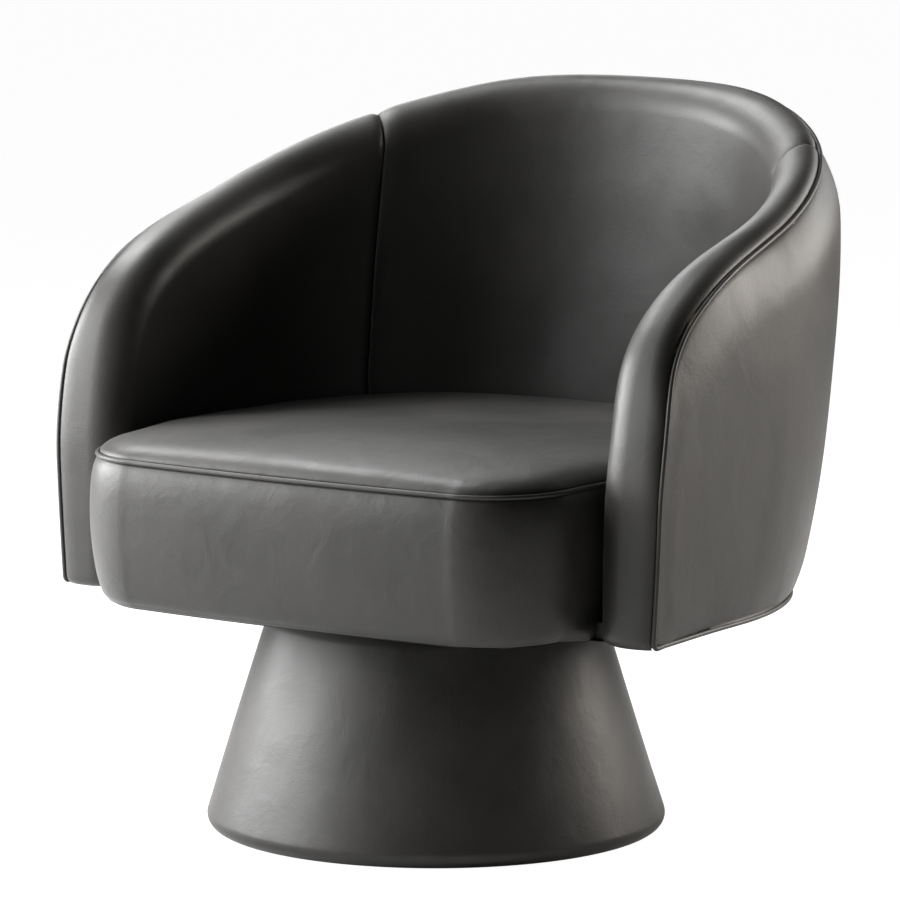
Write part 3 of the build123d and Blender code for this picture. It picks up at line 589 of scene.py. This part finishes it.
def material(name):
    made = bpy.data.materials.new(name)
    made.use_nodes = True
    made.node_tree.nodes.clear()
    return made, made.node_tree


def colour_steps(tree, factor, steps):
    """Colour ramp through (position, sRGB hex) steps."""
    ramp = add_node(tree, "ShaderNodeValToRGB", [("Fac", factor)])
    for stop, (position, code) in zip(ramp.color_ramp.elements, (steps[0], steps[-1])):
        stop.position, stop.color = position, srgb(code)
    for position, code in steps[1:-1]:
        ramp.color_ramp.elements.new(position).color = srgb(code)
    return ramp.outputs["Color"]


def grey_leather(name, creases=0.35):
    """Satin cowhide.  Grain cells 1.1 mm wide; creases sets how strongly long folds show."""
    made, tree = material(name)
    place = add_node(tree, "ShaderNodeTexCoord").outputs["Object"]
    clouds = add_node(tree, "ShaderNodeTexNoise", [("Vector", place)], in_Scale=9.0, in_Detail=4.0,
                      in_Roughness=0.55)
    cells = add_node(tree, "ShaderNodeTexVoronoi", [("Vector", place)], feature="SMOOTH_F1",
                     in_Scale=900.0, in_Smoothness=0.6)
    pores = add_node(tree, "ShaderNodeTexNoise", [("Vector", place)], in_Scale=1500.0, in_Detail=2.0)
    folds = add_node(tree, "ShaderNodeTexNoise", [("Vector", place)], in_Scale=26.0, in_Detail=5.0,
                     in_Roughness=0.5, in_Distortion=0.6)
    soft = add_node(tree, "ShaderNodeTexNoise", [("Vector", place)], in_Scale=7.0, in_Detail=2.0)
    colour = colour_steps(tree, clouds.outputs["Fac"],
                          [(0.3, "#242321"), (0.5, "#292826"), (0.72, "#302e2c")])
    rough = add_node(tree, "ShaderNodeMapRange", [("Value", clouds.outputs["Fac"])], in_From_Min=0.3,
                     in_From_Max=0.75, in_To_Min=0.40, in_To_Max=0.53)
    wave = add_node(tree, "ShaderNodeBump", [("Height", soft.outputs["Fac"])],
                    in_Strength=0.45, in_Distance=0.006)
    crease = add_node(tree, "ShaderNodeBump",
                      [("Height", folds.outputs["Fac"]), ("Normal", wave.outputs["Normal"])],
                      in_Strength=creases, in_Distance=0.0022)
    grain = add_node(tree, "ShaderNodeBump",
                     [("Height", cells.outputs["Distance"]), ("Normal", crease.outputs["Normal"])],
                     in_Strength=0.55, in_Distance=0.0002)
    pore = add_node(tree, "ShaderNodeBump",
                    [("Height", pores.outputs["Fac"]), ("Normal", grain.outputs["Normal"])],
                    in_Strength=0.25, in_Distance=0.00008)
    skin = add_node(tree, "ShaderNodeBsdfPrincipled",
                    [("Base Color", colour), ("Roughness", rough.outputs["Result"]),
                     ("Normal", pore.outputs["Normal"])])
    skin.inputs["IOR"].default_value = 1.5
    skin.inputs["Specular IOR Level"].default_value = 0.5
    skin.inputs["Sheen Weight"].default_value = 0.06
    skin.inputs["Sheen Roughness"].default_value = 0.4
    add_node(tree, "ShaderNodeOutputMaterial", [("Surface", skin.outputs["BSDF"])])
    return made


pad_leather = grey_leather("satin cowhide, pads", 0.25)
seat_leather = grey_leather("satin cowhide, seat", 0.5)
panel_leather = grey_leather("satin cowhide, outer panel", 0.25)
cone_leather = grey_leather("satin cowhide, pedestal", 0.35)
piping_leather = grey_leather("satin cowhide, piping", 0.2)

# %% [markdown]
# ## The piping's paths
#
# One closed line runs up the front of one arm, round the rim, down the other and back
# along the lower edge of the outer panel.  The seat has its own, all round the top of its
# band.

# %% Sweep the piping
CORD_R = 2.5            # piping's radius
CORD_LOW_Z = 252.6      # height of the piping's middle along the panel's lower edge


def rim_path():
    """Closed path of the rim's piping, in millimetres."""
    half = []
    for st in half_tub(120, 2.0, first=11.0 / ARM_RUN):
        half.append(st.at(np.array([st.seam]), np.zeros(1), np.array([st.lean]), False)[0])
    half = np.array(half)
    corner = []
    top = half[0]
    z_low = CORD_LOW_Z
    bend = top[2] - z_low
    for k in range(9):
        a = math.radians(90 * k / 8)
        corner.append((top[0], top[1] + bend * (1 - math.cos(a)), top[2] - bend * math.sin(a)))
    start = corner[-1]
    yc = float(wall_circle(np.array(z_low), 0.0)[1])
    low = []
    for y in start[1] + (yc - start[1]) * np.linspace(0, 1, 26)[1:]:
        near = float(ease((y - start[1]) / 20.0))
        r = float(wall_circle(np.array(z_low), 0.4 + foot_tuck(y))[0])
        low.append((start[0] + (r - start[0]) * near, float(y), z_low))
    for a in np.radians(np.linspace(0, 90, 46)[1:]):
        r = float(wall_circle(np.array(z_low), 0.4 + foot_tuck(yc + 350 * math.sin(a)))[0])
        low.append((r * math.cos(a), yc + r * math.sin(a), z_low))
    loop = np.concatenate([np.array(low[::-1]), np.array(corner[::-1]), half[1:]])
    return np.concatenate([loop, other_hand(loop[-2:0:-1])])


rim_piping = sweep_piping("rim_piping_cord", rim_path(), CORD_R, piping_leather, closed=True)
plan = seat_plan(0.6)
zs = np.minimum(PIPE_Z, seat_crown(plan[:, 0], plan[:, 1]) - 15.0)
seat_line = np.concatenate([plan, zs[:, None]], -1)
seat_piping = sweep_piping("seat_piping_cord", seat_line, CORD_R, piping_leather, closed=True)

# %% [markdown]
# ## The pedestal's leather
#
# A single piece of leather is drawn over a plywood cone and turned under at the floor.
# Its outline is turned round the axis, and the surface is let wander by less than a
# millimetre, because a cover drawn over a large cone is never quite even.

# %% Pedestal cover
BASE_R, BASE_SLOPE = 251.6, 0.308      # radius the cone would have at the floor, loss per mm of height


def cone_outline():
    """The cover's section (radius, height), from its turned-in top over the foot to below."""
    pts = [(130.0, 235.8), (160.0, 236.0)]
    for a in np.radians(np.linspace(90, 17, 9)):
        pts.append((172.6 + 6.0 * math.cos(a), 230.0 + 6.0 * math.sin(a)))
    centre_z, edge = 14.1, 13.5
    lean = math.atan(BASE_SLOPE)
    centre_r = BASE_R - BASE_SLOPE * centre_z - edge / math.cos(lean)
    turn = np.linspace(lean, -math.pi / 2, 22)
    foot = [(centre_r + edge * math.cos(a), centre_z + edge * math.sin(a)) for a in turn]
    z0, z1 = pts[-1][1], foot[0][1]
    for k in range(1, 46):
        z = z0 + (z1 - z0) * k / 46
        pts.append((BASE_R - BASE_SLOPE * z, z))
    return np.array(pts + foot + [(226.5, 0.7), (222.0, 1.6), (130.0, 2.2)])


outline = cone_outline()
turns = np.linspace(0, 2 * math.pi, 241)[:-1]
grid = []
for a in turns:
    height = outline[:, 1]
    wander = 0.55 * np.sin(3 * a + 1.1 + height / 90) + 0.35 * np.sin(7 * a + 2.0 - height / 60)
    wander = wander * ease(height / 60) * ease((240 - height) / 40)
    r = outline[:, 0] + wander * (outline[:, 0] > 175)
    grid.append(np.stack([r * math.cos(a), r * math.sin(a), height], -1))
cone = lay_grid("pedestal_cover", np.array(grid), ends=False)

# %% [markdown]
# ## Dust cloth under the seat
#
# Black spunbond cloth closes the tub from below.  It is stapled near the shell all round
# and round the swivel plate, and sags by a millimetre or two between.

# %% Dust cloth
def cloth_outline(z, inset):
    """Plan of the cloth: the seat's front, a step at the arms, and the tub's inside."""
    plan = seat_plan(inset + 17.0, z=z)
    out = []
    for x, y in plan:
        if y > -150.0:
            r, yc = wall_circle(np.array(z), 18.6 + inset)
            r, yc = float(r), float(yc)
            if y <= yc:
                x = math.copysign(r, x)
            else:
                a = math.atan2(y - 40.0, x)
                c, n = math.cos(a), math.sin(a)
                gap = 40.0 - yc
                reach = -gap * n + math.sqrt(r * r - (gap * c) ** 2)
                x, y = reach * c, 40.0 + reach * n
        out.append((x, y))
    return np.array(out)


edge = cloth_outline(254.5, 0.0)
angles = np.arctan2(edge[:, 1], edge[:, 0])
hole = np.stack([131.0 * np.cos(angles), 131.0 * np.sin(angles)], -1)
sheet_rows = []
for k in range(19):
    t = k / 18
    plan = edge * (1 - t) + hole * t
    between = math.sin(math.pi * t)
    sag = 1.6 * between ** 0.8 + 0.3 * np.sin(angles * 9 + 5 * t) * between
    sheet_rows.append(np.concatenate([plan, (253.5 - sag)[:, None]], -1))
under = np.array(sheet_rows)
over = under[::-1].copy()
over[..., 2] += 0.35
dust = lay_grid("dust_cloth", np.concatenate([under, over]), ends=False)

# %% [markdown]
# ## Finishes of the frame
#
# The rigid nodes keep their CAD meshes and get a finish each: birch plywood with its
# growth rings, planed beech, zinc plated and blackened steel, ground rollers, nylon, felt.

# %% Frame finishes
def timber(name, pale, dark, ring_mm, rough):
    """Wood whose growth rings are ring_mm apart, with fine pores along the grain (X)."""
    made, tree = material(name)
    place = add_node(tree, "ShaderNodeTexCoord").outputs["Object"]
    turned = add_node(tree, "ShaderNodeMapping", [("Vector", place)], in_Rotation=(0.06, 0.04, 0.1),
                      in_Scale=(0.12, 1, 1)).outputs["Vector"]
    growth = add_node(tree, "ShaderNodeTexWave", [("Vector", turned)], bands_direction="Y",
                      in_Scale=1000.0 / ring_mm / 6.28, in_Distortion=6.0, in_Detail=2.0,
                      in_Detail_Scale=1.2)
    pores = add_node(tree, "ShaderNodeTexNoise", [("Vector", turned)], in_Scale=900.0, in_Detail=3.0)
    mix = add_node(tree, "ShaderNodeMath", [(0, growth.outputs["Fac"]), (1, pores.outputs["Fac"])],
                   operation="MULTIPLY")
    colour = colour_steps(tree, mix.outputs["Value"], [(0.05, dark), (0.6, pale)])
    bump = add_node(tree, "ShaderNodeBump", [("Height", pores.outputs["Fac"])],
                    in_Strength=0.2, in_Distance=0.0002)
    wood = add_node(tree, "ShaderNodeBsdfPrincipled",
                    [("Base Color", colour), ("Normal", bump.outputs["Normal"])])
    wood.inputs["Roughness"].default_value = rough
    add_node(tree, "ShaderNodeOutputMaterial", [("Surface", wood.outputs["BSDF"])])
    return made


def metal(name, colours, rough, scale):
    """Steel with a patchy surface: zinc spangle, blacking or grinding marks by scale."""
    made, tree = material(name)
    place = add_node(tree, "ShaderNodeTexCoord").outputs["Object"]
    patches = add_node(tree, "ShaderNodeTexNoise", [("Vector", place)], in_Scale=scale, in_Detail=4.0)
    colour = colour_steps(tree, patches.outputs["Fac"], [(0.35, colours[0]), (0.65, colours[1])])
    sheen = add_node(tree, "ShaderNodeMapRange", [("Value", patches.outputs["Fac"])],
                     in_To_Min=rough[0], in_To_Max=rough[1])
    bump = add_node(tree, "ShaderNodeBump", [("Height", patches.outputs["Fac"])],
                    in_Strength=0.1, in_Distance=0.0001)
    steel = add_node(tree, "ShaderNodeBsdfPrincipled",
                     [("Base Color", colour), ("Roughness", sheen.outputs["Result"]),
                      ("Normal", bump.outputs["Normal"])])
    steel.inputs["Metallic"].default_value = 1.0
    add_node(tree, "ShaderNodeOutputMaterial", [("Surface", steel.outputs["BSDF"])])
    return made


def matt(name, steps, rough, scale, depth):
    """Fibrous or moulded surface with a fine mottle and bump."""
    made, tree = material(name)
    place = add_node(tree, "ShaderNodeTexCoord").outputs["Object"]
    fibres = add_node(tree, "ShaderNodeTexNoise", [("Vector", place)], in_Scale=scale, in_Detail=5.0,
                      in_Roughness=0.7)
    colour = colour_steps(tree, fibres.outputs["Fac"], steps)
    bump = add_node(tree, "ShaderNodeBump", [("Height", fibres.outputs["Fac"])],
                    in_Strength=0.5, in_Distance=depth)
    body = add_node(tree, "ShaderNodeBsdfPrincipled",
                    [("Base Color", colour), ("Normal", bump.outputs["Normal"])])
    body.inputs["Roughness"].default_value = rough
    add_node(tree, "ShaderNodeOutputMaterial", [("Surface", body.outputs["BSDF"])])
    return made


plywood = timber("birch plywood", "#d9bd8f", "#b98f5c", 7.0, 0.55)
# The seat board's plywood is coloured near black as painted shade: its edge shows in the gap under the
# seat's front, which lies in shade.
shade_plywood = timber("plywood painted black as shade", "#1f1d1b", "#121110", 7.0, 0.6)
beech = timber("planed beech", "#cfa071", "#a9744a", 4.0, 0.5)
zinc = metal("zinc plated steel", ("#a9adb0", "#c3c7ca"), (0.3, 0.45), 60.0)
black_steel = metal("blackened steel", ("#1d1e20", "#2b2c2e"), (0.4, 0.55), 140.0)
ground_steel = metal("ground roller steel", ("#b9bcbe", "#cdd0d2"), (0.12, 0.2), 400.0)
nylon = matt("moulded nylon", [(0.3, "#d8d6cc"), (0.7, "#e4e2d8")], 0.45, 300.0, 0.00005)
felt = matt("pressed wool felt", [(0.3, "#1c1c1c"), (0.7, "#333333")], 0.95, 900.0, 0.0004)
spunbond = matt("spunbond dust cloth", [(0.35, "#0c0c0c"), (0.65, "#1f1f1f")], 0.85, 700.0, 0.0002)

FINISH = {
    "base_felt_pad": felt, "base_bottom_disc": plywood, "base_cone_shell": plywood, "base_ribs": plywood,
    "base_top_disc": plywood, "tub_shell": plywood, "seat_board": shade_plywood, "arm_block_right": beech,
    "arm_block_left": beech, "swivel_lower_plate": zinc, "swivel_upper_plate": zinc, "king_nut": zinc,
    "shell_screws": zinc, "lower_screws": black_steel, "upper_screws": black_steel, "king_pin": black_steel,
    "rollers": ground_steel, "roller_cage": nylon, "king_washer": nylon,
}
for node, finish in FINISH.items():
    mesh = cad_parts[node].data
    mesh.materials.clear()
    mesh.materials.append(finish)

# %% [markdown]
# ## Hanging the pieces on the frame
#
# Each piece rides on the body it is fixed to, stands for the CAD nodes it dresses, and
# names the record's material slot it takes its finish from.

# %% Ride and replace
DRESS = [
    (arm_right, "tub", pad_leather, "leather", ("arm_cover_right", "arm_foam_right"), 0.85),
    (arm_left, "tub", pad_leather, "leather", ("arm_cover_left", "arm_foam_left"), 0.85),
    (back_pad, "tub", pad_leather, "leather", ("back_cover", "back_foam"), 0.8),
    (panel, "tub", panel_leather, "leather", ("outer_cover", "outer_wadding"), 0.9),
    (seat, "tub", seat_leather, "leather",
     ("seat_top_cover", "seat_band", "seat_foam_top", "seat_foam_core"), 0.8),
    (cone, "pedestal", cone_leather, "leather", ("base_cover", "base_wadding"), 0.95),
    (rim_piping, "tub", piping_leather, "leather", ("rim_piping",), None),
    (seat_piping, "tub", piping_leather, "leather", ("seat_piping",), None),
    (dust, "tub", spunbond, "dust_cloth", ("dust_cover",), None),
]
for piece, body, finish, slot, nodes, fill in DRESS:
    piece.data.materials.clear()
    piece.data.materials.append(finish)
    for polygon in piece.data.polygons:
        polygon.material_index = 0
    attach(piece, body)
    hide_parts(*nodes)

# %% [markdown]
# ## Floor, light and camera
#
# The floor is a plain white sheet that looks white to the camera and still takes the
# chair's soft shadow.  Large soft boxes light the leather, as in a product studio: they
# give a satin surface its long highlights.

# %% Floor
def studio_white(name):
    """White that stays white to the camera and keeps a faint shadow."""
    made, tree = material(name)
    path = add_node(tree, "ShaderNodeLightPath")
    paint = add_node(tree, "ShaderNodeBsdfDiffuse")
    paint.inputs["Color"].default_value = srgb("#e6e6e6")
    faint = add_node(tree, "ShaderNodeBsdfDiffuse")
    faint.inputs["Color"].default_value = (0.25, 0.25, 0.25, 1)
    glow = add_node(tree, "ShaderNodeEmission", in_Strength=0.97)
    both = add_node(tree, "ShaderNodeAddShader",
                    [(0, faint.outputs["BSDF"]), (1, glow.outputs["Emission"])])
    mixed = add_node(tree, "ShaderNodeMixShader",
                     [(0, path.outputs["Is Camera Ray"]), (1, paint.outputs["BSDF"]),
                      (2, both.outputs["Shader"])])
    add_node(tree, "ShaderNodeOutputMaterial", [("Surface", mixed.outputs["Shader"])])
    return made


floor_mesh = bpy.data.meshes.new("floor")
floor_mesh.from_pydata([(-30, -30, 0), (30, -30, 0), (30, 30, 0), (-30, 30, 0)], [], [(0, 1, 2, 3)])
floor = bpy.data.objects.new("floor", floor_mesh)
floor.data.materials.append(studio_white("white studio floor"))
bpy.context.scene.collection.objects.link(floor)

world = bpy.data.worlds.new("studio")
bpy.context.scene.world = world
world.use_nodes = True
world.node_tree.nodes.clear()
tree = world.node_tree
path = add_node(tree, "ShaderNodeLightPath")
dim = add_node(tree, "ShaderNodeBackground", in_Color=(1, 1, 1, 1), in_Strength=0.03)
white = add_node(tree, "ShaderNodeBackground", in_Color=(1, 1, 1, 1), in_Strength=1.0)
mixed = add_node(tree, "ShaderNodeMixShader",
                 [(0, path.outputs["Is Camera Ray"]), (1, dim.outputs["Background"]),
                  (2, white.outputs["Background"])])
add_node(tree, "ShaderNodeOutputWorld", [("Surface", mixed.outputs["Shader"])])


# %% Soft boxes
BOX_WIDTH, BOX_HEIGHT = 0.9, 1.1
BOX_DISTANCE = 2.4
BOX_AIM = (0, 0, 0.45)


def soft_box(name, azimuth, elevation, watts, tint="#ffffff"):
    """Rectangular area light; azimuth 0 is in front of the sitter, 90 at +X."""
    lamp = bpy.data.lights.new(name, "AREA")
    lamp.shape, lamp.size, lamp.size_y, lamp.energy = "RECTANGLE", BOX_WIDTH, BOX_HEIGHT, watts
    lamp.color = srgb(tint)[:3]
    a, e = math.radians(azimuth), math.radians(elevation)
    back = Vector((math.sin(a) * math.cos(e), -math.cos(a) * math.cos(e), math.sin(e)))
    box = bpy.data.objects.new(name, lamp)
    box.location = Vector(BOX_AIM) + back * BOX_DISTANCE
    box.rotation_mode = "QUATERNION"
    box.rotation_quaternion = (-back).to_track_quat("-Z", "Y")
    bpy.context.scene.collection.objects.link(box)


soft_box("left front, low", -50, 12, 48)
soft_box("left side", -80, 12, 75)
soft_box("front left, low", -20, 12, 9)
soft_box("left, high", -50, 40, 26)
soft_box("left rear, high", -110, 50, 48)
soft_box("right rear", 140, 15, 40, tint="#fff8f0")
soft_box("rear", 165, 20, 12)
soft_box("left rear rim", -140, 20, 14)

# %% Camera
CAMERA_DISTANCE = 7.595
FOCAL_WIDTHS = 7098 / 900       # focal length in widths of the picture
azimuth, elevation = math.radians(33.38), math.radians(8.85)
back = Vector((math.sin(azimuth) * math.cos(elevation), -math.cos(azimuth) * math.cos(elevation),
               math.sin(elevation)))
right = Vector((math.cos(azimuth), math.sin(azimuth), 0))
up = back.cross(right)
lens = bpy.data.cameras.new("camera")
lens.sensor_width = 36.0
lens.lens = lens.sensor_width * FOCAL_WIDTHS
lens.clip_start, lens.clip_end = 0.1, 100
camera = bpy.data.objects.new("camera", lens)
target = right * 0.0149 + Vector((0, 0, 0.4071))
turned = Matrix((right, up, back)).transposed().to_4x4()
camera.matrix_world = Matrix.Translation(target + back * CAMERA_DISTANCE) @ turned
bpy.context.scene.collection.objects.link(camera)
bpy.context.scene.camera = camera
bpy.context.scene.view_settings.view_transform = "Standard"
